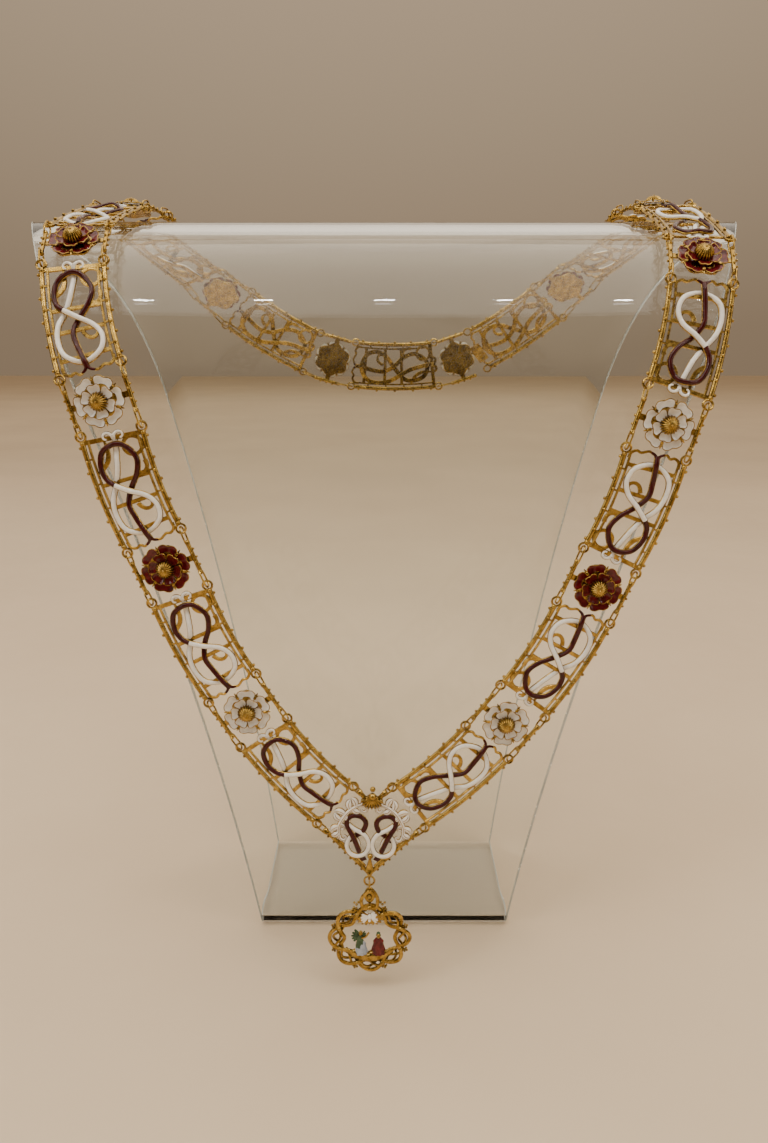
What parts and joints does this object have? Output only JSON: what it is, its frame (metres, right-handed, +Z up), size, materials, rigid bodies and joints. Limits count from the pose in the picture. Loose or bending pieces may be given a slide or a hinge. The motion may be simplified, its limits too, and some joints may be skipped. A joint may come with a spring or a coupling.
{
  "type": "ceremonial collar on clear display stand",
  "caption": "Gilt chain collar of pierced knot plates and enamelled roses with a wreath pendant, laid over a bent sheet of clear acrylic that stands on its foot.",
  "frame": {"origin": "middle of the whole object's footprint box, on the floor under the stand's foot", "axes": "+Z up, -Y towards the viewer's side where the pendant hangs, +X to the right as seen from the front"},
  "size_m": [0.3936, 0.203, 0.4384],
  "materials": {
    "gold": "polished",
    "white_enamel": "gloss",
    "red_enamel": "gloss",
    "acrylic": "gloss"
  },
  "bodies": {
    "collar_on_stand": {"plate_01": "gold", "plate_02": "gold", "plate_03": "gold", "plate_04": "gold", "plate_05": "gold", "plate_06": "gold", "plate_07": "gold", "plate_08": "gold", "plate_09": "gold", "plate_10": "gold", "plate_11": "gold", "plate_12": "gold", "plate_13": "gold", "plate_14": "gold", "plate_15": "gold", "rose_01": "white_enamel", "rose_02": "red_enamel", "rose_03": "white_enamel", "rose_04": "red_enamel", "rose_05": "white_enamel", "rose_06": "red_enamel", "rose_07": "white_enamel", "rose_08": "white_enamel", "rose_09": "red_enamel", "rose_10": "white_enamel", "rose_11": "red_enamel", "rose_12": "white_enamel", "rose_13": "red_enamel", "rose_14": "white_enamel", "v_link": "gold", "clasp": "gold", "stand": "acrylic"},
    "badge": {"pendant_ring": "gold", "pendant": "gold"}
  },
  "joints": [
    {"name": "pendant_swing", "type": "hinge", "parent": "collar_on_stand", "child": "badge", "pos_m": [-0.00806, -0.09445, 0.07525], "axis": [1, 0, 0], "range_deg": [-80, 35]}
  ]
}
